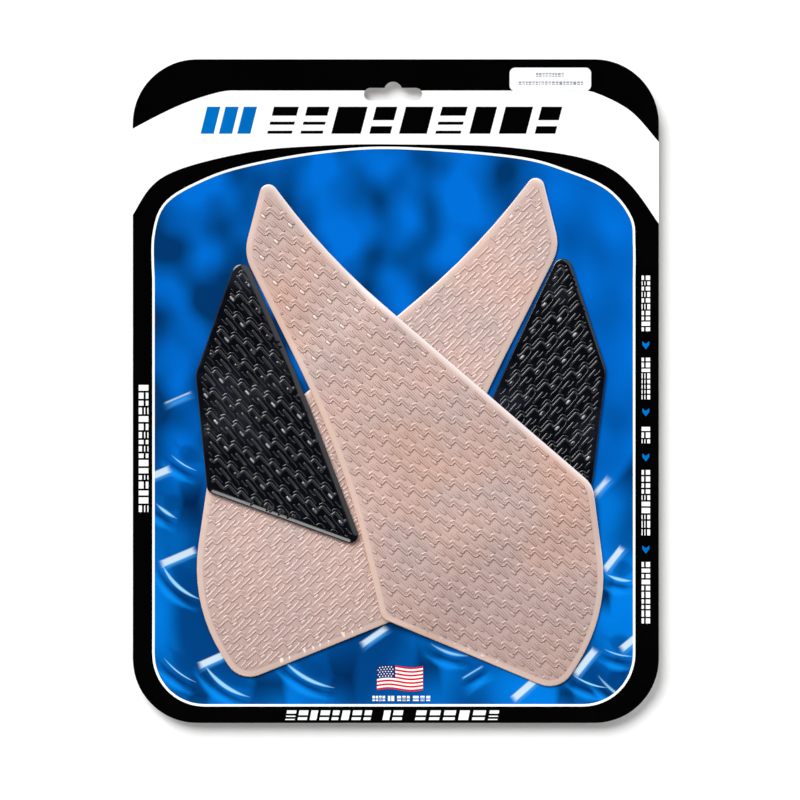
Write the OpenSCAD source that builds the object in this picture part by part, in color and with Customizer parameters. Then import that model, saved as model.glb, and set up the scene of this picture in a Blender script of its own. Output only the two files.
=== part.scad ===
// Carded traction pad kit: four flexible stick-on pads laid out in two layers on a printed
// backing card with a hang hole. The card lies on its back, face up. Millimetres.
// Origin: the middle of the card's back. +X right, +Y towards the hang hole, +Z out of the face.

/* [Backing card] */
// Width of the card
card_w = 287; // [275:1:300]
// Height of the card
card_h = 362; // [350:1:375]
// Thickness of the board
card_t = 0.8; // [0.5:0.1:1.5]
// Radius of the card's corners
card_r = 35; // [5:1:45]

/* [Hang hole] */
// Length of the slot
hole_w = 31.8; // [25:0.1:36]
// Height of the slot, whose ends are full rounds
hole_h = 6.9; // [5:0.1:8]
// Diameter of the round hump that centres the card on a peg
hump_d = 10; // [8.5:0.5:14]
// How far the hump's centre stands above the slot's centre
hump_rise = 1.8; // [0:0.1:3]
// Distance from the card's top edge to the slot's centre
hole_drop = 19; // [14:0.5:24]
// Sideways offset of the hole from the card's centre line
hole_x = -1.4; // [-3:0.1:3]

/* [Item label] */
// Length of the label
label_w = 44.5; // [30:0.5:50]
// Height of the label
label_h = 12.7; // [10:0.1:15]
// Thickness of the label
label_t = 0.15; // [0.1:0.05:0.3]
// Radius of the label's corners
label_r = 3; // [1:0.5:5]
// Label's centre, across from the card's centre line
label_x = 84.4; // [60:0.1:90]
// Distance from the card's top edge to the label's centre
label_drop = 10.9; // [9:0.1:14]

/* [Pad layers] */
// Thickness of a tread's moulded sheet
sheet_t = 1.4; // [1:0.1:2.5]
// Height of the raised bars on the sheet
bar_h = 0.8; // [0.4:0.1:1.2]
// Thickness of the adhesive on a pad's back
adhesive_t = 0.4; // [0.2:0.1:0.8]
// Thickness of the release liner
liner_t = 0.2; // [0.1:0.05:0.4]
// How far the liner reaches in from the pad's edge
liner_inset = 0.3; // [0.1:0.1:1]

/* [Tread pattern] */
// Length of a raised bar
bar_l = 8.5; // [6:0.5:10]
// Width of a raised bar
bar_w = 2; // [1.5:0.1:3]
// Distance between bars along a row
bar_pitch = 13; // [12:0.5:18]
// Distance between rows of bars
row_pitch = 8; // [7:0.5:12]
// Slope of the bars, down towards the right on the front pad
bar_angle = -38; // [-60:1:-20]
// Width of the plain border around the bars
border_w = 4; // [3:0.5:8]

/* [Glue dots] */
// Diameter of the dots that hold the pads to the card and to each other
dot_d = 12.7; // [8:0.1:15]
// Thickness of a dot
dot_t = 0.4; // [0.2:0.1:0.6]

/* [Hidden] */

CLEAR_PAD = [0.84, 0.74, 0.68];
BLACK_PAD = [0.05, 0.05, 0.06];
ARC_FINENESS = 0.08; // an arc's chords stay this close to it
MAX_STEP = 15; // degrees between points of a tight arc

// An outline is a list of corners [x, y, radius], anticlockwise. A corner that turns inwards with
// a large radius is a long, gentle hollow in the edge.
LARGE_PAD = [
    [-89.5, 141, 4.8],   // upper tip
    [-101, 97, 23],      // shoulder
    [-60.5, 15, 470],    // hollow of the long left edge
    [-41, -37.5, 440],
    [-25.5, -102, 6.5],  // heel
    [71.5, -142.5, 14],  // lower tip
    [99, -99.5, 89],     // round belly
    [89.5, -29, 14],     // elbow
    [-56.5, 96.5, 380]   // hollow of the long right edge
];
SMALL_PAD = [
    [-21.5, 88.5, 5.3],  // upper tip
    [-46, 19, 11],       // elbow
    [-39.5, -45, 4.5],   // lower left corner
    [46, -76, 4.3],      // lower tip
    [12.5, 12, 1200]     // hollow of the right edge
];

// Places of the pads: [x, y, turn in degrees, 1 or -1 for the mirror image]
FRONT_PLACE = [18, -22, 0, 1];
REAR_PLACE = [-12.3, -17.6, -0.6, -1];
LEFT_PLACE = [-63.3, -10, 0, 1];
RIGHT_PLACE = [68.6, -6.6, -1.2, -1];

// Glue dots on each pad's back, in that pad's own frame. The upper layer's dots stand on the
// rear pad, because the rest of those pads only droops onto the card.
REAR_DOTS = [[-78, 108], [-30, 40], [45, -20], [10, -85], [65, -95]];
RIGHT_DOTS = [[-22, 55], [-25, 5], [-15, -40]];
LEFT_DOTS = [[-15, -35], [18, -52]];
FRONT_DOTS = [[-38, 20], [-15, -30], [-8, -75]];

dot_z = card_t;
liner_z = dot_z + dot_t;
adhesive_z = liner_z + liner_t;
sheet_z = adhesive_z + adhesive_t;
layer_h = dot_t + liner_t + adhesive_t + sheet_t + bar_h;

// ---- outlines ----

function heading(a, b) = (b - a) / norm(b - a);
function left_of(u) = [-u.y, u.x];
function place_of(corner) = [corner.x, corner.y];
function before(corners, i) = corners[(i + len(corners) - 1) % len(corners)];
function after(corners, i) = corners[(i + 1) % len(corners)];

// Signed turn at corner i in degrees, positive to the left
function turn_at(corners, i) =
    let (u = heading(place_of(before(corners, i)), place_of(corners[i])))
    let (v = heading(place_of(corners[i]), place_of(after(corners, i))))
    atan2(u.x * v.y - u.y * v.x, u * v);

function turned(p, angle) = [
    p.x * cos(angle) - p.y * sin(angle),
    p.x * sin(angle) + p.y * cos(angle)
];

// Points of the arc that rounds corner i
function arc_at(corners, i) =
    let (here = place_of(corners[i]), r = corners[i][2], turn = turn_at(corners, i))
    let (u = heading(place_of(before(corners, i)), here), side = sign(turn))
    let (start = here - u * r * tan(abs(turn) / 2))
    let (centre = start + left_of(u) * r * side)
    let (step = min(MAX_STEP, 2 * acos(1 - ARC_FINENESS / max(r, 1))))
    let (steps = ceil(abs(turn) / step))
    [for (k = [0:steps]) centre + turned(start - centre, turn * k / steps)];

function rounded(corners) = [for (i = [0:len(corners) - 1]) each arc_at(corners, i)];

// The same outline with every edge moved in by d
function inset(corners, d) = [
    for (i = [0:len(corners) - 1])
        let (here = place_of(corners[i]))
        let (n = left_of(heading(place_of(before(corners, i)), here)))
        let (m = left_of(heading(here, place_of(after(corners, i)))))
        let (moved = here + d * (n + m) / (1 + n * m))
        [moved.x, moved.y, max(0.6, corners[i][2] - sign(turn_at(corners, i)) * d)]
];

// Whether a ray from p crosses the outline an odd number of times
function crossings(p, outline) = len([
    for (i = [0:len(outline) - 1])
        let (a = outline[i], b = after(outline, i))
        if ((a.y > p.y) != (b.y > p.y) && p.x < a.x + (b.x - a.x) * (p.y - a.y) / (b.y - a.y)) i
]);
function is_inside(p, outline) = crossings(p, outline) % 2 == 1;

// ---- shared shapes ----

module slab(corners, thickness) {
    linear_extrude(thickness) polygon(rounded(corners));
}

// Puts a pad's own frame at its place on the card
module at_place(place, z) {
    translate([place.x, place.y, z])
        rotate(place[2])
            mirror([place[3] < 0 ? 1 : 0, 0, 0])
                children();
}

// A rounded rectangle built from two bars and four corner rounds
module round_rect(w, h, r, thickness) {
    translate([-w / 2 + r, -h / 2, 0]) cube([w - 2 * r, h, thickness]);
    translate([-w / 2, -h / 2 + r, 0]) cube([w, h - 2 * r, thickness]);
    for (x = [-1, 1], y = [-1, 1])
        translate([x * (w / 2 - r), y * (h / 2 - r), 0])
            cylinder(h = thickness, r = r, $fn = 96);
}

// Middles of the staggered bars that fit whole inside the border
function bar_places(corners) =
    let (field = rounded(inset(corners, border_w)))
    let (along = turned([bar_l / 2, 0], bar_angle), across = turned([0, bar_w / 2], bar_angle))
    [
        for (row = [-20:20], col = [-12:12])
            let (p = [(col + (row % 2 == 0 ? 0 : 0.5)) * bar_pitch, row * row_pitch])
            let (ends = [p + along + across, p + along - across,
                         p - along + across, p - along - across])
            if (len([for (e = ends) if (is_inside(e, field)) e]) == len(ends)) p
    ];

module tread(corners) {
    slab(corners, sheet_t);
    for (p = bar_places(corners))
        translate([p.x, p.y, 0])
            rotate(bar_angle)
                translate([-bar_l / 2, -bar_w / 2, 0])
                    cube([bar_l, bar_w, sheet_t + bar_h]);
}

module glue_dots(places) {
    for (p = places)
        translate([p.x, p.y, 0])
            cylinder(h = dot_t, d = dot_d, $fn = 48);
}

module hang_hole() {
    depth = card_t + 2;
    translate([hole_x, card_h / 2 - hole_drop, -1]) {
        translate([-(hole_w - hole_h) / 2, -hole_h / 2, 0]) cube([hole_w - hole_h, hole_h, depth]);
        for (x = [-1, 1])
            translate([x * (hole_w - hole_h) / 2, 0, 0])
                cylinder(h = depth, d = hole_h, $fn = 96);
        translate([0, hump_rise, 0]) cylinder(h = depth, d = hump_d, $fn = 96);
    }
}

// ---- card ----

module backing_card() {
    color([0.04, 0.3, 0.62])
        difference() {
            round_rect(card_w, card_h, card_r, card_t);
            hang_hole();
        }
}

module item_label() {
    color("white")
        translate([label_x, card_h / 2 - label_drop, card_t])
            round_rect(label_w, label_h, label_r, label_t);
}

// ---- pads ----

// The four layers of a pad, at one place and in layer 0 (on the card) or 1 (on the rear pad)
module pad_dots(place, layer, places) {
    color([0.93, 0.9, 0.78])
        at_place(place, dot_z + layer * layer_h) glue_dots(places);
}

module pad_liner(place, layer, corners) {
    color([0.86, 0.76, 0.6])
        at_place(place, liner_z + layer * layer_h) slab(inset(corners, liner_inset), liner_t);
}

module pad_adhesive(place, layer, corners) {
    color([0.9, 0.85, 0.78])
        at_place(place, adhesive_z + layer * layer_h) slab(inset(corners, liner_inset), adhesive_t);
}

module pad_tread(place, layer, corners, tint) {
    color(tint)
        at_place(place, sheet_z + layer * layer_h) tread(corners);
}

module rear_glue_dots() { pad_dots(REAR_PLACE, 0, REAR_DOTS); }
module rear_liner() { pad_liner(REAR_PLACE, 0, LARGE_PAD); }
module rear_adhesive() { pad_adhesive(REAR_PLACE, 0, LARGE_PAD); }
module rear_tread() { pad_tread(REAR_PLACE, 0, LARGE_PAD, CLEAR_PAD); }

module right_small_glue_dots() { pad_dots(RIGHT_PLACE, 0, RIGHT_DOTS); }
module right_small_liner() { pad_liner(RIGHT_PLACE, 0, SMALL_PAD); }
module right_small_adhesive() { pad_adhesive(RIGHT_PLACE, 0, SMALL_PAD); }
module right_small_tread() { pad_tread(RIGHT_PLACE, 0, SMALL_PAD, BLACK_PAD); }

module left_small_glue_dots() { pad_dots(LEFT_PLACE, 1, LEFT_DOTS); }
module left_small_liner() { pad_liner(LEFT_PLACE, 1, SMALL_PAD); }
module left_small_adhesive() { pad_adhesive(LEFT_PLACE, 1, SMALL_PAD); }
module left_small_tread() { pad_tread(LEFT_PLACE, 1, SMALL_PAD, BLACK_PAD); }

module front_glue_dots() { pad_dots(FRONT_PLACE, 1, FRONT_DOTS); }
module front_liner() { pad_liner(FRONT_PLACE, 1, LARGE_PAD); }
module front_adhesive() { pad_adhesive(FRONT_PLACE, 1, LARGE_PAD); }
module front_tread() { pad_tread(FRONT_PLACE, 1, LARGE_PAD, CLEAR_PAD); }

backing_card();
item_label();
rear_glue_dots();
rear_liner();
rear_adhesive();
rear_tread();
right_small_glue_dots();
right_small_liner();
right_small_adhesive();
right_small_tread();
left_small_glue_dots();
left_small_liner();
left_small_adhesive();
left_small_tread();
front_glue_dots();
front_liner();
front_adhesive();
front_tread();
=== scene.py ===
"""A carded traction pad kit: a printed backing card with an item label, and four moulded pads in two
layers, each a tread on adhesive and a release liner, tacked on with glue dots. The helpers work in
millimetres on the card's own plane; settled() turns them into metres."""

import math
import random

import bpy
import numpy as np
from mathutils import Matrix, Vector
from mathutils.geometry import delaunay_2d_cdt


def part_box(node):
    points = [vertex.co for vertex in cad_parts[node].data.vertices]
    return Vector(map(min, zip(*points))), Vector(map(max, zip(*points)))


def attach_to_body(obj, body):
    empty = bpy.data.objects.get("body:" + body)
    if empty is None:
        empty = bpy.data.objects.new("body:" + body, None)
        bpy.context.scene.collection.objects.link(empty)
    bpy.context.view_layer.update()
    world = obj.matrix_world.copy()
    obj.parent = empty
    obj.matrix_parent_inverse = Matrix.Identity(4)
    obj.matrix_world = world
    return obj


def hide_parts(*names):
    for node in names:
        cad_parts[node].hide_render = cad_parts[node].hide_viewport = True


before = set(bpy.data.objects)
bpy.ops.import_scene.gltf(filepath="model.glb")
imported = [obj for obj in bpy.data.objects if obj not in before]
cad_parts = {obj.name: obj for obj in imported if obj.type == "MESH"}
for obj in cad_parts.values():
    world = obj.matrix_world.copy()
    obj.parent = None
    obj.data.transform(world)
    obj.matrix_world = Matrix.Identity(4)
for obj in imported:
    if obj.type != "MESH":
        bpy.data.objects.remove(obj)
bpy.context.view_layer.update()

MM = 0.001
SEAM = 0.01  # glued layers stop this short of each other, so that no two faces lie in one plane

# The pads: which way their pattern faces and how far it is turned, in degrees; the width of their plain
# border and how far it slopes down; the height of their tall ridges, and the height and width of their low
# ones, as shares of RIDGES; how strong the painted glints on their nubs are; and whether they lie on other
# pads and are black
PADS = {
    "rear": {"mirror": -1, "turn": 0.0, "border": 3.2, "fall": 0.4, "tall": 0.6, "low": (0.75, 1.0),
             "painted_glint": 0.15, "upper": False, "black": False},
    "right_small": {"mirror": -1, "turn": -4.5, "border": 2.2, "fall": 0.1, "tall": 0.95, "low": (0.6, 0.5),
                    "painted_glint": 1, "upper": False, "black": True},
    "left_small": {"mirror": 1, "turn": -5.9, "border": 2.8, "fall": 0.35, "tall": 0.62, "low": (0.28, 0.5),
                   "painted_glint": 1, "upper": True, "black": True},
    "front": {"mirror": 1, "turn": 0.0, "border": 3.2, "fall": 0.45, "tall": 1.0, "low": (1.25, 1.1),
              "painted_glint": 0.9, "upper": True, "black": False},
}

# Tread
RIM_WIDTH, RIM_HEIGHT, RIM_ANGLES = 0.9, 0.55, (20, 40, 60, 80)  # the rounding of its edge
STEP_ALONG = np.array([14.8, -5.0])  # from one pattern tile to the next in a row
STEP_DOWN = np.array([-7.7, -8.8])  # from one row to the next
RELIEF = 0.8  # height of the tallest ridge
RIDGE_HALF_WIDTH = 0.85
TALL = 0.7  # ridges above this share of the tallest are tall
SUNK = 0.2  # how far a ridge's sides go into the sheet, as a share of its height
PROFILE = [(-1.0, -SUNK), (-0.55, 0.68), (0.0, 1.0), (0.55, 0.68), (1.0, -SUNK)]
RIDGE_ENDS = [(0.62, 0.8), (1.0, 0.0)]  # how far past a ridge's last point, and how large there

# The ridges of one pattern tile: height and half width as shares of the tallest, and points. The one that
# stops at NUB_END is a short nub whose top gets a painted glint.
NUB_END = (6.5, 7.4)
RIDGES = [
    (1.0, 1.0, [(0.0, 0.0), (1.3, 1.5), (2.8, 1.4), (6.3, -1.9), (7.8, -2.0), (8.8, -0.8), (9.9, -1.0),
                (12.8, -3.9), (14.8, -5.0)]),
    (0.35, 0.85, [(0.4, 2.8), (1.9, 3.6), (3.5, 3.2), (6.8, 0.0), (7.7, 0.2), (8.7, 1.1), (10.3, 0.9),
                 (13.0, -1.8)]),
    (0.9, 0.95, [(-3.0, 10.4), (-0.3, 7.7), (2.4, 5.0)]),
    (0.4, 0.85, [(0.7, 10.5), (1.6, 8.9), (4.4, 6.1), (6.6, 4.4), (7.8, 2.8)]),
    (0.9, 1.45, [(5.2, 8.5), NUB_END]),
    (0.6, 0.9, [(9.1, 4.9), (10.7, 3.2), (12.3, 2.4)]),
]

PATTERN_REACH = 14  # how far outside a pad a tile's origin may be, and still put a ridge on it
PATTERN_TILES = 25  # tiles each way from a pad's middle that surely cover it
STROKE_STEP, STROKE_BEND = 0.5, 7  # how finely a ridge's curve is followed, in mm and degrees
DEEPEST = 20  # the materials need no depth beyond this

# How finely outlines and surfaces are divided
PAD_EDGE, ROUGH_EDGE, TREAD_FACE, SHEET_EDGE, SHEET_FACE = 1.0, 3.0, 2.4, 1.2, 4.0
CARD_EDGE, HOLE_EDGE, CARD_FACE = 3, 0.6, 7
LABEL_EDGE, LABEL_FACE = 1.0, 4

# Drape of the upper pads: they sink to the card within this length of the pads below them, and stop
# DROOP_CLEARANCE above it
DROOP_LENGTH = 34
DROOP_CLEARANCE = 0.15

# The card's curl at its right, left, bottom and top: how far from the middle it starts, over what length it
# reaches its height, that height, and the power that shapes it
CURLS = [(60, 83, 5.4, 4), (60, 83, 1.0, 3), (40, 141, 4.8, 3.5), (60, 121, 4.6, 2)]
CURL_MOST = 1.2  # the share of its length at which a curl stops rising
CORNER_SHARE = 0.3  # how much of the lower of two curls is added at a corner
FLOOR_DROP = 2.2  # how far the floor lies below the card's middle


# ---- curves and outlines, all in mm ----


def smooth_curve(points, spacing, closed=False):
    """Points about spacing apart on a smooth curve through points."""
    p = np.array(points, float)
    count = len(p)
    last = count if closed else count - 1
    made = []
    for i in range(last):
        if closed:
            a, b, c, d = (p[(i + k) % count] for k in (-1, 0, 1, 2))
        else:
            a, b, c, d = p[max(i - 1, 0)], p[i], p[i + 1], p[min(i + 2, count - 1)]
        steps = max(1, math.ceil(np.linalg.norm(c - b) / spacing))
        for t in np.arange(steps) / steps:
            made.append(
                b
                + 0.5 * t * (c - a)
                + t * t * (a - 2.5 * b + 2 * c - 0.5 * d)
                + t**3 * (1.5 * b - 1.5 * c + 0.5 * (d - a))
            )
    if not closed:
        made.append(p[-1])
    return np.array(made)


def resampled(loop, spacing):
    """A closed loop's points at even steps of about spacing."""
    ends = np.vstack([loop, loop[:1]])
    along = np.concatenate([[0], np.cumsum(np.linalg.norm(np.diff(ends, axis=0), axis=1))])
    where = np.linspace(0, along[-1], max(8, round(along[-1] / spacing)), endpoint=False)
    return np.stack([np.interp(where, along, ends[:, k]) for k in (0, 1)], 1)


def area_of(loop):
    x, y = loop.T
    return 0.5 * np.sum(x * np.roll(y, -1) - np.roll(x, -1) * y)


def underside_loops(node):
    """The edges of a flat CAD node's underside, anticlockwise, the largest first."""
    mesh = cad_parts[node].data
    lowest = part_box(node)[0].z
    place = [tuple(round(c / MM, 3) for c in v.co[:2]) for v in mesh.vertices]
    low = [v.co.z < lowest + 1e-6 for v in mesh.vertices]
    once = set()
    for face in mesh.polygons:
        if all(low[i] for i in face.vertices):
            corners = [place[i] for i in face.vertices]
            for a, b in zip(corners, corners[1:] + corners[:1]):
                if (b, a) in once:
                    once.remove((b, a))
                else:
                    once.add((a, b))
    follows = dict(once)
    loops = []
    while follows:
        start = max(follows)
        loop = [start]
        here = follows.pop(start)
        while here != start:
            loop.append(here)
            here = follows.pop(here)
        loops.append(np.array(loop))
    loops.sort(key=lambda loop: -abs(area_of(loop)))
    return [loop if area_of(loop) > 0 else loop[::-1] for loop in loops]


def heights_of(node):
    """Where a CAD node starts and stops, upwards."""
    return [corner.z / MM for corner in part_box(node)]


def outline_of(node, spacing):
    """The outer edge of a flat CAD node, at even steps."""
    return resampled(underside_loops(node)[0], spacing)


def bends(curve, least):
    """The numbers of a curve's points that a line needs to turn where the curve does."""
    kept = [0]
    for i in range(1, len(curve) - 1):
        before, after = curve[i] - curve[kept[-1]], curve[i + 1] - curve[i]
        turn = before[0] * after[1] - before[1] * after[0]
        if abs(turn) > math.sin(math.radians(least)) * np.linalg.norm(before) * np.linalg.norm(after):
            kept.append(i)
    return kept + [len(curve) - 1]


def inward_normals(loop):
    along = np.roll(loop, -1, 0) - np.roll(loop, 1, 0)
    along /= np.linalg.norm(along, axis=1)[:, None]
    return np.stack([-along[:, 1], along[:, 0]], 1)


def moved_in(loop, distance):
    """An anticlockwise loop moved inwards."""
    return loop + inward_normals(loop) * distance


def depth_inside(points, loop):
    """How far inside the loop each point is, negative outside."""
    nearest = np.full(len(points), np.inf)
    crossed = np.zeros(len(points), bool)
    for a, b in zip(loop, np.roll(loop, -1, 0)):
        side = b - a
        share = np.clip(((points - a) @ side) / (side @ side), 0, 1)
        nearest = np.minimum(nearest, np.linalg.norm(points - a - share[:, None] * side, axis=1))
        rises = (a[1] > points[:, 1]) != (b[1] > points[:, 1])
        if side[1] != 0:
            crossed ^= rises & (points[:, 0] < a[0] + side[0] * (points[:, 1] - a[1]) / side[1])
    return np.where(crossed, nearest, -nearest)


class Depths:
    """How far inside the nearest of some loops a point is, read off a grid worked out once."""

    STEP = 1.5
    MARGIN = 40

    def __init__(self, loops):
        self.low = np.min([loop.min(0) for loop in loops], 0) - self.MARGIN
        high = np.max([loop.max(0) for loop in loops], 0) + self.MARGIN
        x, y = (np.arange(a, b, self.STEP) for a, b in zip(self.low, high))
        across, up = np.meshgrid(x, y, indexing="ij")
        places = np.stack([across.ravel(), up.ravel()], 1)
        deepest = np.max([depth_inside(places, loop) for loop in loops], 0)
        self.values = deepest.reshape(across.shape)

    def __call__(self, points):
        most = np.array(self.values.shape) - 1.001
        where = np.clip((points - self.low) / self.STEP, 0, most)
        i, j = where.astype(int).T
        u, v = (where - where.astype(int)).T
        table = self.values
        near = table[i, j] * (1 - u) + table[i + 1, j] * u
        far = table[i, j + 1] * (1 - u) + table[i + 1, j + 1] * u
        return near * (1 - v) + far * v


def smoothstep(t):
    t = np.clip(t, 0, 1)
    return t * t * (3 - 2 * t)


def grid_points(low, high, spacing):
    """A staggered grid of points over a box."""
    rows = []
    height = spacing * math.sqrt(3) / 2
    for k in range(int((high[1] - low[1]) / height) + 1):
        x = np.arange(low[0] + (k % 2) * spacing / 2, high[0], spacing)
        rows.append(np.stack([x, np.full(len(x), low[1] + k * height)], 1))
    return np.vstack(rows)


# ---- how things lie ----

PAD_OUTLINES = {name: outline_of(f"{name}_tread", PAD_EDGE) for name in PADS}
ROUGH_OUTLINES = {name: resampled(loop, ROUGH_EDGE) for name, loop in PAD_OUTLINES.items()}
PAD_DEPTHS = {name: Depths([loop]) for name, loop in ROUGH_OUTLINES.items()}
SUPPORT_DEPTHS = Depths([ROUGH_OUTLINES[name] for name, pad in PADS.items() if not pad["upper"]])
UPPER_DROP = heights_of("front_liner")[0] - heights_of("backing_card")[1] - DROOP_CLEARANCE


def curl(points):
    """How far the card's curl raises it, and all that is on it."""
    x, y = points.T
    right, left, bottom, top = (
        height * np.clip((away - start) / length, 0, CURL_MOST) ** power
        for away, (start, length, height, power) in zip((x, -x, -y, y), CURLS)
    )
    sides, ends = right + left, bottom + top
    return np.maximum(sides, ends) + CORNER_SHARE * np.minimum(sides, ends)


def droop(points):
    """How far an upper pad sinks beyond the pads that it lies on."""
    return UPPER_DROP * smoothstep(-SUPPORT_DEPTHS(points) / DROOP_LENGTH)


def settled(points, heights, upper):
    """Millimetre points and heights as rows of x, y, z in metres, curled and drooped."""
    z = heights + curl(points)
    if upper:
        z = z - droop(points)
    return np.column_stack([points, z]) * MM


# ---- meshes ----


def make_object(name, rows, faces, materials, slots=None, smooth=True):
    used = sorted({i for face in faces for i in face})
    renumbered = dict(zip(used, range(len(used))))
    mesh = bpy.data.meshes.new(name)
    mesh.from_pydata([tuple(rows[i]) for i in used], [], [[renumbered[i] for i in f] for f in faces])
    for material in materials:
        mesh.materials.append(material)
    if slots is not None:
        mesh.polygons.foreach_set("material_index", slots)
    mesh.polygons.foreach_set("use_smooth", [smooth] * len(mesh.polygons))
    mesh.update()
    piece = bpy.data.objects.new(name, mesh)
    bpy.context.scene.collection.objects.link(piece)
    return piece


def attach(piece, body, node):
    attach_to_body(piece, body)
    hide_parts(node)
    return piece


def add_value(piece, name, values):
    """Gives each vertex a number that the materials can read."""
    piece.data.attributes.new(name, "FLOAT", "POINT").data.foreach_set("value", values)


def filled(loops, spacing, margin):
    """Triangles between closed loops, with a grid of points inside the first one. Returns the points,
    the triangles and, for each loop, its points' numbers."""
    points, edges, starts = [], [], []
    for loop in loops:
        starts.append(len(points))
        count = len(loop)
        edges += [(starts[-1] + i, starts[-1] + (i + 1) % count) for i in range(count)]
        points += [tuple(p) for p in loop]
    grid = grid_points(loops[0].min(0), loops[0].max(0), spacing)
    grid = grid[depth_inside(grid, loops[0]) > margin]
    points += [tuple(p) for p in grid]
    made, _, faces, origins, _, _ = delaunay_2d_cdt([Vector(p) for p in points], edges, [], 0, 1e-5)
    number = {}
    for new, olds in enumerate(origins):
        for old in olds:
            number[old] = new
    kept = [[number[start + i] for i in range(len(loop))] for start, loop in zip(starts, loops)]
    return np.array([tuple(p) for p in made]), [tuple(f) for f in faces], kept


def centres_of(points, faces):
    return points[np.array(faces)].mean(1)


def filled_inside(loop, spacing, margin):
    """Triangles inside one loop. Returns the points, the triangles and the loop's points' numbers."""
    points, faces, (edge,) = filled([loop], spacing, margin)
    inside = depth_inside(centres_of(points, faces), loop) > 0
    return points, [f for f, keep in zip(faces, inside) if keep], edge


def walls(lower, upper):
    """Faces between two rings of point numbers, outwards for anticlockwise rings."""
    count = len(lower)
    return [(lower[i], lower[(i + 1) % count], upper[(i + 1) % count], upper[i]) for i in range(count)]


def layer_rows(loop, low, high, border, fall, spacing, upper):
    """A sheet, with a sloping border and a rounded edge where border isn't 0: its points, its faces and
    its rows."""
    rings = [(0.0, low), (0.0, high)]
    if border:
        brink = high - fall
        rings = [(0.0, low), (0.0, brink - RIM_HEIGHT)]
        for angle in np.radians(RIM_ANGLES):
            rings.append((RIM_WIDTH * (1 - math.cos(angle)), brink - RIM_HEIGHT * (1 - math.sin(angle))))
        rings.append((border, high))
    flat_loop = moved_in(loop, rings[-1][0])
    flat, faces, edge = filled_inside(flat_loop, spacing, spacing * 0.6)
    base, base_faces, base_edge = filled_inside(loop, spacing * 2, spacing)
    points, heights = [flat], [np.full(len(flat), high)]
    count = len(flat)
    ring_numbers = [edge]
    for distance, z in reversed(rings[1:-1]):
        ring = moved_in(loop, distance)
        points.append(ring)
        heights.append(np.full(len(ring), z))
        ring_numbers.append(list(range(count, count + len(ring))))
        count += len(ring)
    points.append(base)
    heights.append(np.full(len(base), low))
    faces += [tuple(count + i for i in reversed(f)) for f in base_faces]
    ring_numbers.append([count + i for i in base_edge])
    for above, below in zip(ring_numbers, ring_numbers[1:]):
        faces += walls(below, above)
    points = np.vstack(points)
    heights = np.concatenate(heights)
    return points, faces, settled(points, heights, upper)


def ridge(points, height, half_width):
    """A rounded ridge along points: its points, its heights and its faces, numbered from 0."""
    along = np.gradient(points, axis=0)
    along /= np.linalg.norm(along, axis=1)[:, None] + 1e-9
    across = np.stack([-along[:, 1], along[:, 0]], 1)
    stations = [(points[0] - along[0] * half_width * s, across[0], k) for s, k in reversed(RIDGE_ENDS)]
    stations += [(p, n, 1.0) for p, n in zip(points, across)]
    stations += [(points[-1] + along[-1] * half_width * s, across[-1], k) for s, k in RIDGE_ENDS]
    where, heights = [], []
    for centre, side, size in stations:
        for offset, rise in PROFILE:
            where.append(centre + side * offset * half_width * size)
            heights.append(rise * height if rise < 0 else rise * height * size - SUNK * height * (1 - size))
    wide = len(PROFILE)
    faces = [
        (k * wide + j, k * wide + j + 1, (k + 1) * wide + j + 1, (k + 1) * wide + j)
        for k in range(len(stations) - 1)
        for j in range(wide - 1)
    ]
    return np.array(where), np.array(heights), faces


def pattern_places(name):
    """Origins of the pattern's tiles over a pad, and the matrix that turns tile vectors to the pad."""
    pad = PADS[name]
    turn = math.radians(pad["turn"])
    matrix = np.array([[math.cos(turn), -math.sin(turn)], [math.sin(turn), math.cos(turn)]])
    matrix = np.diag([pad["mirror"], 1]) @ matrix
    loop = PAD_OUTLINES[name]
    middle = (loop.min(0) + loop.max(0)) / 2
    each_way = range(-PATTERN_TILES, PATTERN_TILES + 1)
    numbers = np.array([(i, j) for i in each_way for j in each_way])
    places = middle + (numbers[:, :1] * STEP_ALONG + numbers[:, 1:] * STEP_DOWN) @ matrix.T
    return places[PAD_DEPTHS[name](places) > -PATTERN_REACH], matrix


def ridge_runs(places, matrix, stroke, depths, clear):
    """The stretches of a stroke, at every tile, that keep clear of the pad's edge."""
    dense = smooth_curve(stroke, STROKE_STEP)
    corners = bends(dense, STROKE_BEND)
    dense = dense @ matrix.T
    points = (places[:, None, :] + dense[None, :, :]).reshape(-1, 2)
    inside = (depths(points) > clear).reshape(len(places), len(dense))
    for place, ok in zip(places, inside):
        start = None
        for k in range(len(dense) + 1):
            if k < len(dense) and ok[k]:
                start = k if start is None else start
            elif start is not None:
                if k - start >= 2:
                    between = [i for i in corners if start < i < k - 1]
                    yield place + dense[[start, *between, k - 1]]
                start = None


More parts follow.
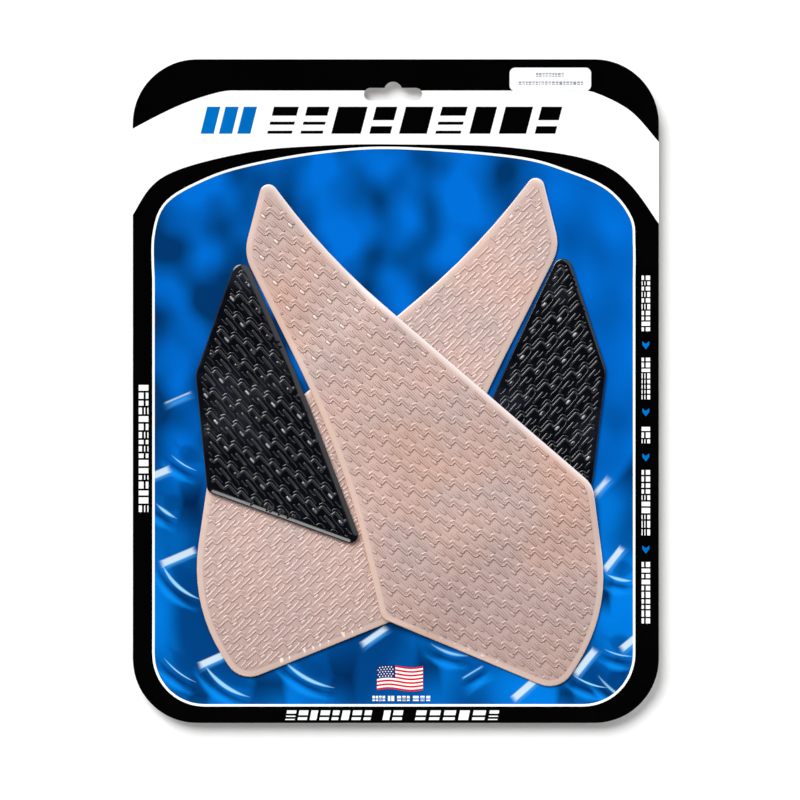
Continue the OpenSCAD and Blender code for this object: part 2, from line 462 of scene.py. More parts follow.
def make_tread(name, materials):
    """A pad's moulded sheet with its raised pattern."""
    pad = PADS[name]
    low, high = heights_of(f"{name}_tread")
    low += SEAM
    top = high - RELIEF
    loop = PAD_OUTLINES[name]
    points, faces, rows = layer_rows(loop, low, top, pad["border"], pad["fall"], TREAD_FACE, pad["upper"])
    places, matrix = pattern_places(name)
    depths = PAD_DEPTHS[name]
    all_points, all_heights, all_faces, painted_glint = [], [], [], [np.zeros(len(rows))]
    count = len(rows)
    for height, width, stroke in RIDGES:
        tall_share, wide_share = (pad["tall"], 1.0) if height > TALL else pad["low"]
        half = RIDGE_HALF_WIDTH * width * wide_share
        rise = RELIEF * height * tall_share
        for run in ridge_runs(places, matrix, stroke, depths, pad["border"] + half):
            where, rises, quads = ridge(run, rise, half)
            all_points.append(where)
            all_heights.append(top + rises)
            # painted glint: each nub's crest is marked, at the pad's strength, for a highlight painted into
            # the tread's colour
            painted_glint.append((rises > 0.9 * rise) * (pad["painted_glint"] if stroke[-1] == NUB_END else 0.0))
            all_faces += [tuple(count + i for i in reversed(q)) for q in quads]
            count += len(where)
    ridge_points = np.vstack(all_points)
    ridge_rows = settled(ridge_points, np.concatenate(all_heights), pad["upper"])
    piece = make_object(
        f"{name}_moulded_tread", np.vstack([rows, ridge_rows]), faces + all_faces, materials
    )
    everywhere = np.vstack([points, ridge_points])
    add_value(piece, "edge_depth", depths(everywhere).clip(0, DEEPEST))
    add_value(piece, "painted_glint", np.concatenate(painted_glint))
    return attach(piece, f"{name}_pad", f"{name}_tread")


def make_sheet(name, kind, body, materials):
    """A pad's adhesive or liner."""
    node = f"{name}_{kind}"
    low, high = heights_of(node)
    loop = outline_of(node, SHEET_EDGE)
    _, faces, rows = layer_rows(loop, low + SEAM, high - SEAM, 0, 0, SHEET_FACE, PADS[name]["upper"])
    piece = make_object(f"{name}_{kind}_sheet", rows, faces, materials, smooth=False)
    return attach(piece, body, node)


# ---- the card's print ----


HEADER_ARC = [(-150, 80), (-143.5, 96.2), (-126, 117.5), (-82.3, 130.1), (-40, 134), (0, 134.7),
              (64.7, 132.8), (116.6, 121.9), (143.5, 91.3), (150, 76)]
PANEL_ARC = [(-132.9, 60), (-132.9, 85.3), (-126, 103.3), (-106, 115.5), (-82.3, 123.5), (-42, 130.8),
             (0, 133.4), (64.7, 128.5), (95, 120.5), (116.6, 110.4), (129, 95), (130.8, 80), (130.8, 60)]
HEADER_TOP = [(150, 130), (143.4, 136), (128, 153), (107.8, 163.2), (96, 164)]
HEADER_TOP_LEFT = [(-84, 164), (-96, 163.2), (-118, 156), (-143.5, 143.2), (-150, 138)]
PANEL_LEFT, PANEL_RIGHT, PANEL_BOTTOM, PANEL_CORNER = -132.9, 130.8, -172.1, 28.6
PRINT_STEP, PANEL_STEP = 3, 2.5  # how finely the print's curves are followed
KEYLINE = 1.3  # width of the white line round the picture

# Lines of stand-in print: left, right and the number of blocks, or top, bottom and number down the side
TITLE_LOW, TITLE_HIGH = 140.5, 155.2
TITLE = (-72.5, 89.5, 9)
MARK_BAR, MARK_PITCH, MARK_BARS = (-106.5, -99.3), 10, 3
FOOTER_LOW, FOOTER_HIGH = -179.4, -174.2
FOOTER_WORDS = [(-61, -13, 8), (-8, 4, 2), (9.5, 56.5, 6)]
LEFT_LINE, LEFT_LINE_LOW = (-140.3, -135), -66.6
LEFT_LINE_LENGTH, LEFT_LINE_TALL, LEFT_LINE_BLOCKS = 70.5, 5.3, 17
RIGHT_LINE, RIGHT_LINE_TALL = (134.2, 138.8), 4.6
RIGHT_WORDS = [(63.4, 32.3, 10), (18.6, -4.9, 8), (-19.1, -28.9, 3), (-42.6, -79.2, 10), (-92.8, -127.2, 10)]
CHEVRONS = [25.2, -11.4, -36, -86.3]
CHEVRON = [(134.6, 2), (136.5, 0.6), (138.4, 2), (138.4, 0), (136.5, -2.4), (134.6, 0)]
ORIGIN_LOW, ORIGIN_HIGH = -169.1, -166.3
ORIGIN_WORDS = [(-12.9, -5.5, 4), (-4.5, -0.5, 2), (0.5, 8, 3), (9, 19.3, 3)]
BLOCK_GAP, SPLIT_GAP = 0.26, 0.22  # as shares of a block's pitch and of its height

FLAG = (-10.2, 14.9, -163.2, -150.1)  # left, right, bottom, top
FLAG_STRIPES = 13
FLAG_WAVE, FLAG_WAVE_LENGTH = 0.7, 25
CANTON_WIDE, CANTON_STRIPES = 10, 7
STAR_ROWS, STAR_HALF = 5, 0.3


def corner_arc(centre, radius, start, stop):
    angles = np.radians(np.linspace(start, stop, 13))
    return np.stack([centre[0] + radius * np.cos(angles), centre[1] + radius * np.sin(angles)], 1)


def header_loop():
    """The white header, anticlockwise, with corners past the card's own."""
    return np.vstack([smooth_curve(part, PRINT_STEP) for part in (HEADER_ARC, HEADER_TOP, HEADER_TOP_LEFT)])


def panel_loop():
    """The outside of the white line round the picture, anticlockwise."""
    arc = smooth_curve(PANEL_ARC, PRINT_STEP)[::-1]
    low = PANEL_BOTTOM + PANEL_CORNER
    left = corner_arc((PANEL_LEFT + PANEL_CORNER, low), PANEL_CORNER, 180, 270)
    right = corner_arc((PANEL_RIGHT - PANEL_CORNER, low), PANEL_CORNER, 270, 360)
    return resampled(np.vstack([arc, left, right]), PANEL_STEP)


def block(x0, x1, y0, y1, slant=0.0):
    """A bar whose top leans by slant times its height."""
    lean = slant * (y1 - y0)
    return np.array([(x0, y0), (x1, y0), (x1 + lean, y1), (x0 + lean, y1)])


def block_row(x0, x1, y0, y1, count, slant, rng):
    """Stand-in blocks for a line of print: solid, or split across in two or three."""
    shares = np.array([rng.uniform(0.8, 1.2) for _ in range(count)])
    widths = shares / shares.sum() * (x1 - x0)
    gap = BLOCK_GAP * (x1 - x0) / count
    tall = y1 - y0
    made, x = [], x0
    for width in widths:
        left, right = x + gap / 2, x + width - gap / 2
        parts = rng.choice((1, 2, 2, 3))
        for k in range(parts):
            low = tall * k / parts
            high = tall * (k + 1) / parts - (SPLIT_GAP * tall if k < parts - 1 else 0)
            made.append(block(left + low * slant, right + low * slant, y0 + low, y0 + high, slant))
        x += width
    return made


def upright(loops, x0, x1, clockwise):
    """Turns a row that was laid out from (0, 0) so that it runs up or down the card's side."""
    if clockwise:
        return [np.stack([x0 + loop[:, 1], -loop[:, 0]], 1) for loop in loops]
    return [np.stack([x1 - loop[:, 1], loop[:, 0]], 1) for loop in loops]


def flag_wave(x):
    """How far the waving flag stands above its place."""
    return FLAG_WAVE * np.sin((x - FLAG[0]) / FLAG_WAVE_LENGTH * 2 * math.pi)


def wavy_strip(x0, x1, y0, y1):
    x = np.linspace(x0, x1, 15)
    low = np.stack([x, y0 + flag_wave(x)], 1)
    high = np.stack([x, y1 + flag_wave(x)], 1)[::-1]
    return np.vstack([low, high])


def flag_regions():
    """A small national flag, with squares for stars."""
    left, right, bottom, top = FLAG
    stripe = (top - bottom) / FLAG_STRIPES
    regions = [("white", wavy_strip(*FLAG))]
    for k in range(0, FLAG_STRIPES, 2):
        low = bottom + k * stripe
        regions.append(("red", wavy_strip(left, right, low, low + stripe)))
    regions.append(("navy", wavy_strip(left, left + CANTON_WIDE, top - CANTON_STRIPES * stripe, top)))
    for row in range(STAR_ROWS):
        for column in range(5 + row % 2):
            x = left + 1.5 + 1.6 * column - 0.8 * (row % 2)
            y = top - 1.1 - 1.25 * row + flag_wave(x)
            regions.append(("white", block(x - STAR_HALF, x + STAR_HALF, y - STAR_HALF, y + STAR_HALF)))
    return regions


def print_regions():
    """The card's print as (ink, loop), later ones on top."""
    rng = random.Random(7)
    panel = panel_loop()
    regions = [("white", header_loop()), ("white", panel), ("picture", moved_in(panel, KEYLINE))]
    for k in range(MARK_BARS):
        left, right = (x + MARK_PITCH * k for x in MARK_BAR)
        regions.append(("blue", block(left, right, TITLE_LOW, TITLE_HIGH, 0.25)))
    x0, x1, count = TITLE
    regions += [("black", b) for b in block_row(x0, x1, TITLE_LOW, TITLE_HIGH, count, 0.26, rng)]
    for x0, x1, count in FOOTER_WORDS:
        regions += [("white", b) for b in block_row(x0, x1, FOOTER_LOW, FOOTER_HIGH, count, 0.2, rng)]
    row = block_row(0, LEFT_LINE_LENGTH, 0, LEFT_LINE_TALL, LEFT_LINE_BLOCKS, 0, rng)
    regions += [("white", loop + (0, LEFT_LINE_LOW)) for loop in upright(row, *LEFT_LINE, False)]
    for top, bottom, count in RIGHT_WORDS:
        row = block_row(0, top - bottom, 0, RIGHT_LINE_TALL, count, 0, rng)
        regions += [("white", loop + (0, top)) for loop in upright(row, *RIGHT_LINE, True)]
    for y in CHEVRONS:
        regions.append(("blue", np.array([(x, y + rise) for x, rise in CHEVRON])))
    regions += flag_regions()
    for x0, x1, count in ORIGIN_WORDS:
        regions += [("white", b) for b in block_row(x0, x1, ORIGIN_LOW, ORIGIN_HIGH, count, 0, rng)]
    return regions


def painted_slab(name, outline, holes, low, high, regions, materials, ground, side, spacing):
    """A flat board whose face is cut into inked regions."""
    loops = [outline, *holes, *[loop for _, loop in regions]]
    points, faces, numbers = filled(loops, spacing, spacing * 0.5)
    middles = centres_of(points, faces)
    inside = depth_inside(middles, outline) > 0
    for hole in holes:
        inside &= depth_inside(middles, hole) < 0
    names = list(materials)
    ink = np.full(len(faces), names.index(ground))
    for colour, loop in regions:
        ink[depth_inside(middles, loop) > 0] = names.index(colour)
    kept = [(f, k) for f, k, keep in zip(faces, ink, inside) if keep]
    count = len(points)
    made = [f for f, _ in kept]
    slots = [int(k) for _, k in kept]
    made += [tuple(count + i for i in reversed(f)) for f, _ in kept]
    slots += [names.index(side)] * len(kept)
    rim = walls([count + i for i in numbers[0]], numbers[0])
    for ring in numbers[1 : 1 + len(holes)]:
        rim += [tuple(reversed(f)) for f in walls([count + i for i in ring], ring)]
    made += rim
    slots += [names.index(side)] * len(rim)
    rows = np.vstack([settled(points, np.full(count, z), False) for z in (high, low)])
    return make_object(name, rows, made, list(materials.values()), slots, smooth=False)


# ---- materials ----


class Look:
    """One procedural material, built node by node."""

    def __init__(self, name):
        self.material = bpy.data.materials.new(name)
        self.material.use_nodes = True
        self.nodes = self.material.node_tree.nodes
        self.links = self.material.node_tree.links
        self.nodes.clear()
        self.shader = self.nodes.new("ShaderNodeBsdfPrincipled")
        self.output = self.nodes.new("ShaderNodeOutputMaterial")
        self.links.new(self.shader.outputs[0], self.output.inputs["Surface"])
        self.place = self.nodes.new("ShaderNodeTexCoord").outputs["Object"]

    def put(self, socket, value):
        if isinstance(value, bpy.types.NodeSocket):
            self.links.new(value, socket)
        elif value is not None:
            socket.default_value = value

    def set(self, **values):
        """Sets the shader's own sockets, written as Base_Color for Base Color."""
        for name, value in values.items():
            self.put(self.shader.inputs[name.replace("_", " ")], value)

    def math(self, operation, a, b=None, c=None):
        node = self.nodes.new("ShaderNodeMath")
        node.operation = operation
        for socket, value in zip(node.inputs, (a, b, c)):
            self.put(socket, value)
        return node.outputs[0]

    def noise(self, scale, detail=3.0, roughness=0.5, vector=None, distortion=0.0):
        node = self.nodes.new("ShaderNodeTexNoise")
        self.put(node.inputs["Vector"], vector or self.place)
        node.inputs["Scale"].default_value = scale
        node.inputs["Detail"].default_value = detail
        node.inputs["Roughness"].default_value = roughness
        node.inputs["Distortion"].default_value = distortion
        return node.outputs["Fac"]

    def scaled_place(self, scale, turn=0.0, move=(0, 0, 0)):
        node = self.nodes.new("ShaderNodeMapping")
        self.put(node.inputs["Vector"], self.place)
        node.inputs["Location"].default_value = move
        node.inputs["Rotation"].default_value = (0, 0, turn)
        node.inputs["Scale"].default_value = scale
        return node.outputs[0]

    def span(self, value, low, high, to_low=0.0, to_high=1.0, soft=True):
        node = self.nodes.new("ShaderNodeMapRange")
        node.interpolation_type = "SMOOTHSTEP" if soft else "LINEAR"
        for socket, v in zip(node.inputs, (value, low, high, to_low, to_high)):
            self.put(socket, v)
        return node.outputs[0]

    def mix(self, share, a, b):
        node = self.nodes.new("ShaderNodeMix")
        node.data_type = "RGBA"
        self.put(node.inputs[0], share)
        for socket, colour in ((node.inputs[6], a), (node.inputs[7], b)):
            self.put(socket, colour)
        return node.outputs[2]

    def bump(self, height, strength, distance):
        node = self.nodes.new("ShaderNodeBump")
        node.inputs["Strength"].default_value = strength
        node.inputs["Distance"].default_value = distance
        self.put(node.inputs["Height"], height)
        self.put(self.shader.inputs["Normal"], node.outputs[0])

    def attribute(self, name):
        node = self.nodes.new("ShaderNodeAttribute")
        node.attribute_name = name
        return node.outputs["Fac"]

    def slope(self, towards):
        """How far the surface tips towards a direction in the card's plane, -1 to 1."""
        node = self.nodes.new("ShaderNodeVectorMath")
        node.operation = "DOT_PRODUCT"
        self.put(node.inputs[0], self.nodes.new("ShaderNodeNewGeometry").outputs["Normal"])
        node.inputs[1].default_value = (*towards, 0)
        return node.outputs["Value"]

    def parts(self, vector):
        """A vector's x, y and z."""
        node = self.nodes.new("ShaderNodeSeparateXYZ")
        self.put(node.inputs[0], vector)
        return node.outputs

    def upness(self):
        """1 where the surface faces up, 0 on a wall."""
        return self.parts(self.nodes.new("ShaderNodeNewGeometry").outputs["Normal"])[2]


def colour(red, green, blue):
    """A screen colour, 0 to 255 each, as linear light."""
    made = []
    for value in (red, green, blue):
        v = value / 255
        made.append(v / 12.92 if v <= 0.04045 else ((v + 0.055) / 1.055) ** 2.4)
    return (*made, 1.0)


def varnish(look, smoothest, roughest):
    """A dull, slightly uneven coat, with a fine paper grain under it."""
    look.set(Roughness=look.span(look.noise(900, 2), 0.3, 0.7, smoothest, roughest))
    look.set(Specular_IOR_Level=0.01)
    look.bump(look.noise(1400, 3), 0.12, 0.00004)


def ink_look(name, shade, worn, gloss=0.42):
    """Ink on coated board: faint mottling under the varnish."""
    look = Look(name)
    mottle = look.span(look.noise(55, 4), 0.35, 0.7)
    look.set(Base_Color=look.mix(mottle, shade, worn))
    varnish(look, gloss - 0.06, gloss + 0.08)
    return look.material


def board_look():
    """Uncoated grey-white board: the back and the cut edges."""
    look = Look("board_back")
    fibres = look.noise(500, 6, 0.65, look.scaled_place((1, 3.2, 1)))
    flecks = look.span(look.noise(1500, 2), 0.68, 0.76)
    paper = look.mix(look.span(fibres, 0.3, 0.7), colour(205, 201, 192), colour(226, 223, 215))
    look.set(Base_Color=look.mix(flecks, paper, colour(160, 152, 140)), Roughness=0.85)
    look.bump(fibres, 0.3, 0.0001)
    return look.material


# The printed picture's streaks of light and dark: x, y, half length, half width, angle, bend, softness
GLINTS = [
    (-118.8, -90.6, 9.4, 1.8, 23, 0, 1.0),
    (-99.9, -146.6, 7.4, 1.8, 24, 0, 1.0),
    (-129.5, -45.0, 6.0, 1.8, 22, 0, 1.0),
    (-11.8, -133.8, 7.5, 1.5, 35, 0, 1.2),
    (111.7, -52.7, 5.4, 1.2, 49, 0, 1.8),
    (118.8, -91.6, 7.2, 1.6, 52, 0, 1.0),
    (103.4, -148.0, 8.2, 1.8, 51, 0, 1.0),
    (70.3, -162.7, 7.6, 1.8, 41, 0, 1.0),
    (127.4, -137.4, 5.0, 1.7, 40, 0, 1.0),
    (-119.0, -3.6, 6.6, 0.3, 23, 0, 1.2),
]
RIMS = [
    (-119.3, -106.2, 14.0, 0.9, -43, 0.015, 0.9),
    (-94.0, -160.4, 14.5, 1.0, -36, 0.013, 0.9),
    (-49.0, -156.6, 15.0, 0.9, -29, 0.011, 1.0),
    (-125.5, -66.0, 6.0, 0.8, -36, 0.012, 0.9),
    (-118.5, -153.5, 10.5, 0.35, -37, 0.012, 0.5),
    (-116.0, -40.0, 7.5, 0.35, -32, 0.014, 0.5),
    (122.0, -102.8, 6.5, 0.8, -14, 0.020, 0.8),
    (121.5, -143.8, 7.5, 0.35, -14, 0.016, 0.5),
    (105.5, -159.6, 10.0, 0.45, -21, 0.014, 0.5),
    (29.0, -142.8, 9.0, 0.6, -18, 0.014, 1.4),
    (42.0, -153.5, 5.5, 0.3, 31, 0, 1.0),
    (118.0, -163.0, 9.0, 0.5, -40, 0.01, 1.4),
]
HOLLOWS = [
    (-112.0, -61.0, 8.0, 5.0, 88, 0, 7.0),
    (-69.0, -160.0, 7.0, 8.0, 88, 0, 8.0),
    (-29.0, -156.0, 7.0, 6.0, 88, 0, 8.0),
    (115.0, -111.0, 7.0, 2.5, 84, 0, 4.0),
    (122.5, -154.0, 5.0, 4.0, 70, 0, 6.0),
    (93.0, -165.0, 5.0, 4.0, 88, 0, 6.0),
    (18.0, -150.0, 6.0, 6.0, 85, 0, 8.0),
    (130.0, -45.0, 8.0, 4.5, 60, 0, 8.0),
    (-107.0, -166.0, 5.0, 5.0, 80, 0, 6.0),
]


def beside(streaks, distance, longer, half_width, soft):
    """Streaks that run along others, a distance above them, or below where it is negative."""
    made = []
    for x, y, half_length, _, angle, bend, _ in streaks:
        turn = math.radians(angle)
        at = (x - math.sin(turn) * distance, y + math.cos(turn) * distance)
        made.append((*at, half_length * longer, half_width, angle, bend, soft))
    return made


END_FADE = 3.5  # how much softer a streak's ends are than its sides


def streak_group():
    """A node group that paints one streak: a soft-edged bar, or an arc that tapers to its ends."""
    group = bpy.data.node_groups.new("print_streak", "ShaderNodeTree")
    kinds = {"Under": "Color", "Vector": "Vector", "Tint": "Color"}
    for name in ("Under", "Vector", "Tint", "Amount", "Length", "Width", "Bend", "Taper", "Soft"):
        kind = kinds.get(name, "Float")
        group.interface.new_socket(name, in_out="INPUT", socket_type=f"NodeSocket{kind}")
    group.interface.new_socket("Color", in_out="OUTPUT", socket_type="NodeSocketColor")
    look = Look.__new__(Look)
    look.nodes, look.links = group.nodes, group.links
    given = look.nodes.new("NodeGroupInput").outputs
    along, across, _ = look.parts(given["Vector"])
    squared = look.math("MULTIPLY", along, along)
    away = look.math("SUBTRACT", across, look.math("MULTIPLY", squared, given["Bend"]))
    past = look.math("SUBTRACT", look.math("ABSOLUTE", along), given["Length"])
    past = look.math("DIVIDE", past, END_FADE)
    share = look.math("DIVIDE", squared, look.math("MULTIPLY", given["Length"], given["Length"]))
    narrowing = look.math("MINIMUM", look.math("MULTIPLY", share, given["Taper"]), 1.0)
    width = look.math("MULTIPLY", look.math("SUBTRACT", 1.0, narrowing), given["Width"])
    aside = look.math("SUBTRACT", look.math("ABSOLUTE", away), width)
    over = look.math("DIVIDE", look.math("MAXIMUM", past, aside), given["Soft"])
    mask = look.math("MULTIPLY", look.span(over, 0.5, -0.5), given["Amount"])
    out = look.nodes.new("NodeGroupOutput")
    look.put(out.inputs[0], look.mix(mask, given["Under"], given["Tint"]))
    return group


def streak(look, group, under, tint, amount, entry):
    """The colour under, with one streak painted over it."""
    x, y, half_length, half_width, angle, bend, soft = entry
    turn = math.radians(angle)
    at = (-(x * math.cos(turn) + y * math.sin(turn)), x * math.sin(turn) - y * math.cos(turn), 0)
    node = look.nodes.new("ShaderNodeGroup")
    node.node_tree = group
    place = look.scaled_place((1 / MM, 1 / MM, 1 / MM), -turn, at)
    values = (under, place, tint, amount, half_length, half_width, bend, 1.0 if bend else 0.0, soft)
    for socket, value in zip(node.inputs, values):
        look.put(socket, value)
    return node.outputs[0]


def picture_look():
    """The printed picture: rubber studs in blue light, blurred far away and sharp near by."""
    look = Look("print_picture")
    group = streak_group()
    across, up, _ = look.parts(look.scaled_place((1 / MM, 1 / MM, 1 / MM)))
    blots = look.noise(40, 0.8, 0.35, look.scaled_place((1, 0.75, 1)))
    calm = look.span(across, 20, 110, 1.0, 0.35)
    contrast = look.math("MULTIPLY", look.math("SUBTRACT", blots, 0.5), calm)
    level = look.math("ADD", look.math("MULTIPLY", contrast, 3.5), look.span(across, -140, 130, 0.38, 0.78))
    deep, bright = colour(0, 52, 104), colour(0, 106, 206)
    far = look.mix(look.span(level, 0.0, 1.0, soft=False), deep, bright)
    body = look.noise(20, 1.5, 0.4, look.scaled_place((1, 0.7, 1), 0.4, (0.3, 0.1, 0)))
    near = look.mix(look.span(body, 0.36, 0.66), colour(0, 62, 124), colour(0, 118, 214))
    shade = look.mix(look.span(up, -20, -75), far, near)
    for table, tint, amount in (
        (HOLLOWS, colour(0, 22, 58), 0.9),
        (beside(RIMS, 6.0, 0.9, 4.6, 5.0), colour(0, 62, 126), 0.75),
        (beside(RIMS, -3.4, 1.05, 1.4, 3.0), colour(0, 40, 92), 0.75),
        (beside(RIMS, -7.0, 0.9, 1.6, 4.0), colour(8, 136, 234), 0.9),
        (RIMS, colour(150, 208, 240), 0.95),
        (beside(GLINTS, -2.0, 0.9, 1.2, 2.6), colour(60, 150, 225), 0.8),
        (GLINTS, colour(196, 215, 230), 1.0),
    ):
        for entry in table:
            shade = streak(look, group, shade, tint, amount, entry)
    look.set(Base_Color=shade)
    varnish(look, 0.36, 0.48)
    return look.material


def clear_tread_look():
    """Clear moulded vinyl with a warm cast from the liner behind it. Painted light is in its colour: a pale
    painted highlight on the cut edge where it faces the card's top, an amber painted glow where it faces
    away, painted shade on the ridges' sides and towards the card's bottom, and painted glints on nub tops."""
    look = Look("clear_vinyl")
    depth = look.attribute("edge_depth")
    patches = look.span(look.noise(22, 2.5, 0.5), 0.35, 0.68)
    warm = look.mix(patches, colour(208, 177, 168), colour(194, 172, 166))
    glow = look.math("MULTIPLY", look.span(look.noise(14, 1.5), 0.5, 0.7), 0.5)
    warm = look.mix(glow, warm, colour(212, 165, 144))
    up = look.parts(look.place)[1]
    # painted shade: the tread turns darker towards the card's bottom, where less light falls
    warm = look.mix(look.span(up, -0.05, -0.16, 0.0, 0.8), warm, colour(178, 152, 145))
    warm = look.mix(look.span(depth, 3.6, 2.6, 0.0, 0.5), warm, colour(222, 197, 182))
    # painted light near the cut edge: a pale painted highlight where the edge faces the card's top, an amber
    # painted glow where it faces away
    near_edge = look.span(depth, 3.4, 1.2)
    lit = look.slope((0.45, 0.9))
    pale = look.math("MULTIPLY", near_edge, look.span(lit, 0.04, 0.26, 0.0, 0.9))
    amber = look.math("MULTIPLY", near_edge, look.span(lit, -0.05, -0.4, 0.0, 0.75))
    tinted = look.mix(pale, warm, colour(238, 228, 228))
    tinted = look.mix(amber, tinted, colour(226, 176, 142))
    # painted shade on the ridges' steep sides, away from the pad's edge
    painted_side_shade = look.math("MULTIPLY", look.span(look.upness(), 0.97, 0.6, 0.0, 0.75), look.span(depth, 1.5, 2.5))
    tinted = look.mix(painted_side_shade, tinted, colour(132, 100, 90))
    # painted highlight: the nub tops marked in make_tread turn near-white, more so towards the card's top
    lit_part = look.span(up, -0.02, 0.06, 0.1, 0.95)
    shine = look.math("MULTIPLY", look.attribute("painted_glint"), lit_part)
    look.set(Base_Color=look.mix(shine, tinted, colour(255, 246, 238)))
    look.set(Roughness=look.span(look.noise(160, 3), 0.35, 0.65, 0.24, 0.36))
    look.set(Coat_Weight=0.35, Coat_Roughness=0.16, IOR=1.45)
    look.bump(look.noise(420, 3), 0.18, 0.00012)
    return look.material


def black_tread_look():
    """Glossy blue-black moulded vinyl with faint dust, soft patches of painted sheen, and painted glints
    on some nub tops.
    """
    look = Look("black_vinyl")
    dust = look.span(look.noise(240, 4), 0.55, 0.8, 0.0, 0.3)
    # painted sheen: soft lighter patches that stand in for reflections on the gloss
    painted_sheen = look.span(look.noise(26, 3, 0.6), 0.52, 0.72, 0.0, 0.6)
    ground = look.mix(painted_sheen, colour(6, 7, 14), colour(34, 38, 48))
    ground = look.mix(dust, ground, colour(24, 27, 36))
    # painted glints: some nub tops, picked by noise, turn pale grey
    chosen = look.span(look.noise(90, 2), 0.45, 0.55, 0.0, 0.85)
    glint = look.math("MULTIPLY", look.attribute("painted_glint"), chosen)
    look.set(Base_Color=look.mix(glint, ground, colour(196, 200, 210)))
    look.set(Roughness=look.span(look.noise(120, 3), 0.35, 0.65, 0.09, 0.15))
    look.set(Coat_Weight=0.6, Coat_Roughness=0.07, IOR=1.5)
    look.bump(look.noise(420, 3), 0.15, 0.0001)
    return look.material


def liner_look():
    """Beige release paper: fine fibres and a waxy sheen."""
    look = Look("release_paper")
    fibres = look.noise(700, 5, 0.6, look.scaled_place((1, 2.5, 1)))
    look.set(Base_Color=look.mix(look.span(fibres, 0.3, 0.7), colour(208, 178, 150), colour(224, 198, 172)))
    look.set(Roughness=look.span(look.noise(60, 3), 0.3, 0.7, 0.32, 0.45), Coat_Weight=0.25)
    look.bump(fibres, 0.2, 0.00005)
    return look.material


def adhesive_look():
    """Clear adhesive with a slightly uneven coat."""
    look = Look("clear_adhesive")
    coat = look.noise(180, 4, 0.6)
    look.set(Base_Color=look.mix(look.span(coat, 0.3, 0.7), colour(222, 204, 184), colour(234, 220, 204)))
    look.set(Roughness=look.span(coat, 0.3, 0.7, 0.1, 0.3))
    look.bump(coat, 0.3, 0.0001)
    return look.material


def glue_look():
    """Cloudy yellowish hot-melt."""
    look = Look("hot_melt")
    cloud = look.noise(350, 4, 0.6)
    look.set(Base_Color=look.mix(look.span(cloud, 0.3, 0.7), colour(226, 214, 176), colour(240, 232, 206)))
    look.set(Roughness=look.span(cloud, 0.3, 0.7, 0.2, 0.4), Subsurface_Weight=0.2, Subsurface_Scale=0.001)
    look.bump(cloud, 0.5, 0.0002)
    return look.material


def label_look():
    """White label paper with a faint grey mottling."""
    look = Look("label_paper")
    fibres = look.noise(800, 5, 0.6)
    look.set(Base_Color=look.mix(look.span(fibres, 0.3, 0.7), colour(238, 239, 242), colour(250, 251, 253)))
    look.set(Roughness=0.6)
    look.bump(fibres, 0.2, 0.00005)
    return look.material


# ---- the pieces ----


def make_card():
    inks = {
        "black": ink_look("ink_black", colour(1, 1, 1), colour(2, 2, 2)),
        "white": ink_look("ink_white", colour(252, 252, 251), colour(246, 246, 245)),
        "blue": ink_look("ink_blue", colour(0, 110, 190), colour(0, 102, 180)),
        "red": ink_look("ink_red", colour(214, 30, 44), colour(200, 26, 40)),
        "navy": ink_look("ink_navy", colour(28, 48, 110), colour(24, 42, 98)),
        "picture": picture_look(),
        "board": board_look(),
    }
    low, high = heights_of("backing_card")
    outside, inside = underside_loops("backing_card")
    outline, hole = resampled(outside, CARD_EDGE), resampled(inside, HOLE_EDGE)
    card = painted_slab(
        "printed_card", outline, [hole], low, high, print_regions(), inks, "black", "board", CARD_FACE
    )
    return attach(card, "card", "backing_card")


# The label's lines of stand-in print: left, right, bottom, top, from its middle, and the number of blocks
LABEL_LINES = [(-8, 7.5, 1.4, 3.4, 9), (-17.5, 18, -3, -1.2, 19)]


def make_label():
    rng = random.Random(3)
    low, high = (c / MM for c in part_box("item_label"))
    middle = (low + high) / 2
    regions = []
    for x0, x1, y0, y1, count in LABEL_LINES:
        rows = block_row(middle.x + x0, middle.x + x1, middle.y + y0, middle.y + y1, count, 0, rng)
        regions += [("grey", b) for b in rows]
    inks = {
        "paper": label_look(),
        "grey": ink_look("ink_grey", colour(150, 150, 160), colour(135, 135, 146), 0.6),
    }
    outline = outline_of("item_label", LABEL_EDGE)
    label = painted_slab(
        "item_sticker", outline, [], low.z + SEAM, high.z, regions, inks, "paper", "paper", LABEL_FACE
    )
    return attach(label, "card", "item_label")


DOT_APART = 14  # points of one dot are nearer to each other than this
DOT_RINGS = [(0.96, 0.0), (1.0, 0.3), (0.97, 0.7), (0.88, 1.0), (0.5, 1.0)]  # shares of radius and height
DOT_POINTS = 40


def make_dots(name, material):
    """Domed glue dots on the CAD dots' places."""
    node = f"{name}_glue_dots"
    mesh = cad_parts[node].data
    low, high = heights_of(node)
    low += SEAM
    high -= SEAM
    flat = np.array([(v.co.x, v.co.y) for v in mesh.vertices]) / MM
    middles = []
    left = flat
    while len(left):
        near = np.linalg.norm(left - left[0], axis=1) < DOT_APART
        group = left[near]
        middles.append(((group.min(0) + group.max(0)) / 2, (group.max(0) - group.min(0))[0] / 2))
        left = left[~near]
    rows, faces = [], []
    angles = np.arange(DOT_POINTS) * 2 * math.pi / DOT_POINTS
    for k, (middle, radius) in enumerate(middles):
        wobble = 1 + 0.03 * np.sin(3 * angles + k) + 0.02 * np.sin(5 * angles + 2 * k) - 0.05
        base = len(rows)
        for share, rise in DOT_RINGS:
            ring = middle + np.stack([np.cos(angles), np.sin(angles)], 1) * (radius * share * wobble)[:, None]
            heights = np.full(DOT_POINTS, low + (high - low) * rise)
            rows += list(settled(ring, heights, False))
        rings = [[base + r * DOT_POINTS + i for i in range(DOT_POINTS)] for r in range(len(DOT_RINGS))]
        faces += [tuple(reversed(rings[0])), tuple(rings[-1])]
        for lower, upper in zip(rings, rings[1:]):
            faces += walls(lower, upper)
    piece = make_object(f"{name}_hot_melt_dots", rows, faces, [material])
    return attach(piece, f"{name}_liner", node)


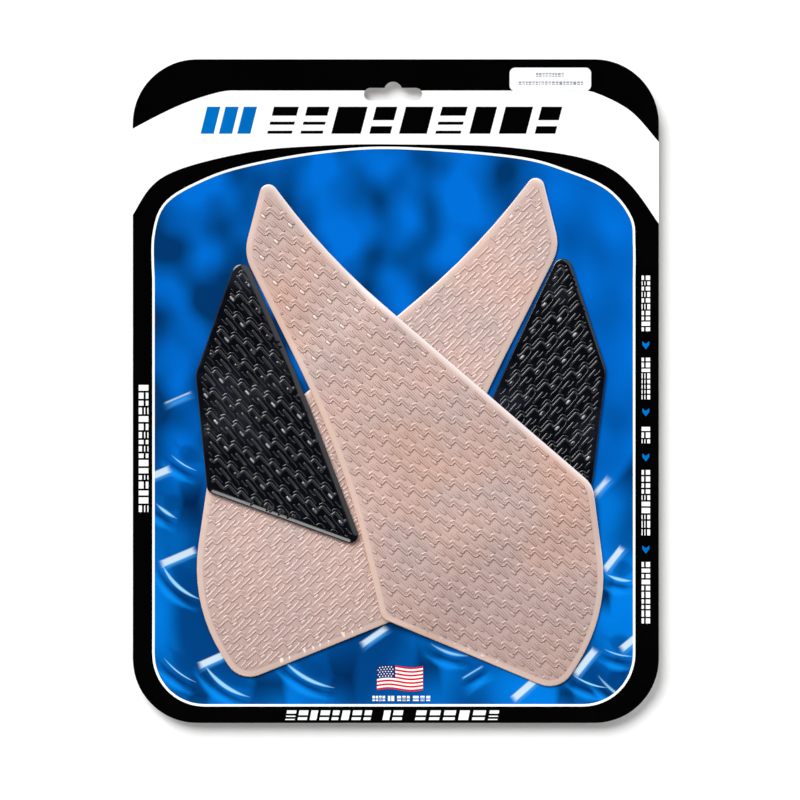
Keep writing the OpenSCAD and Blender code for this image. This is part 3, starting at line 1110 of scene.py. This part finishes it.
def make_pads():
    clear, black = clear_tread_look(), black_tread_look()
    liner, adhesive, glue = liner_look(), adhesive_look(), glue_look()
    for name, pad in PADS.items():
        make_tread(name, [black if pad["black"] else clear])
        make_sheet(name, "adhesive", f"{name}_pad", [adhesive])
        make_sheet(name, "liner", f"{name}_liner", [liner])
        make_dots(name, glue)


# ---- the studio ----


def make_floor():
    look = Look("studio_floor")
    haze = look.noise(3, 2)
    look.set(Base_Color=look.mix(haze, colour(250, 250, 250), colour(253, 253, 253)), Roughness=0.9)
    size, low = 6, -FLOOR_DROP * MM
    rows = [(-size, -size, low), (size, -size, low), (size, size, low), (-size, size, low)]
    floor = make_object("studio_floor", rows, [(0, 1, 2, 3)], [look.material], smooth=False)


def sun_light(name, bearing, elevation, width, power):
    """A soft lamp far away: its bearing clockwise from the card's top edge and its height, in degrees."""
    light = bpy.data.lights.new(name, "SUN")
    light.angle = math.radians(width)
    light.energy = power
    lamp = bpy.data.objects.new(name, light)
    turn, rise = math.radians(bearing), math.radians(elevation)
    towards = Vector((math.sin(turn) * math.cos(rise), math.cos(turn) * math.cos(rise), math.sin(rise)))
    lamp.rotation_mode = "QUATERNION"
    lamp.rotation_quaternion = towards.to_track_quat("Z", "Y")
    lamp.location = towards
    bpy.context.scene.collection.objects.link(lamp)


def make_lights():
    """A pale surround under a dark ceiling, which keeps the blacks deep, and three soft lamps."""
    world = bpy.data.worlds.new("studio")
    bpy.context.scene.world = world
    world.use_nodes = True
    nodes, links = world.node_tree.nodes, world.node_tree.links
    height = nodes.new("ShaderNodeSeparateXYZ")
    links.new(nodes.new("ShaderNodeTexCoord").outputs["Generated"], height.inputs[0])
    fall = nodes.new("ShaderNodeMapRange")
    fall.interpolation_type = "SMOOTHSTEP"
    for socket, value in zip(fall.inputs[1:5], (0.1, 0.9, 0.85, 0.015)):
        socket.default_value = value
    links.new(height.outputs[2], fall.inputs[0])
    links.new(fall.outputs[0], nodes["Background"].inputs["Strength"])
    nodes["Background"].inputs["Color"].default_value = (0.97, 0.985, 1, 1)
    sun_light("key", -34, 48, 38, 3.15)
    sun_light("rim", 44, 56, 50, 0.5)
    sun_light("haze", 199, 69, 12, 0.16)


SENSOR = 36
VIEW_WIDTH = 437.12 * MM  # what the camera sees across, at the card
CAMERA_AT = (0.00238, -0.00486, 3.2)


def make_camera():
    """Straight above the card, and far enough away to see no sides."""
    lens = bpy.data.cameras.new("camera")
    lens.sensor_width = SENSOR
    lens.lens = SENSOR * CAMERA_AT[2] / VIEW_WIDTH
    camera = bpy.data.objects.new("camera", lens)
    camera.location = CAMERA_AT
    bpy.context.scene.collection.objects.link(camera)
    bpy.context.scene.camera = camera


make_card()
make_label()
make_pads()
make_floor()
make_lights()
make_camera()
bpy.context.scene.view_settings.view_transform = "Standard"
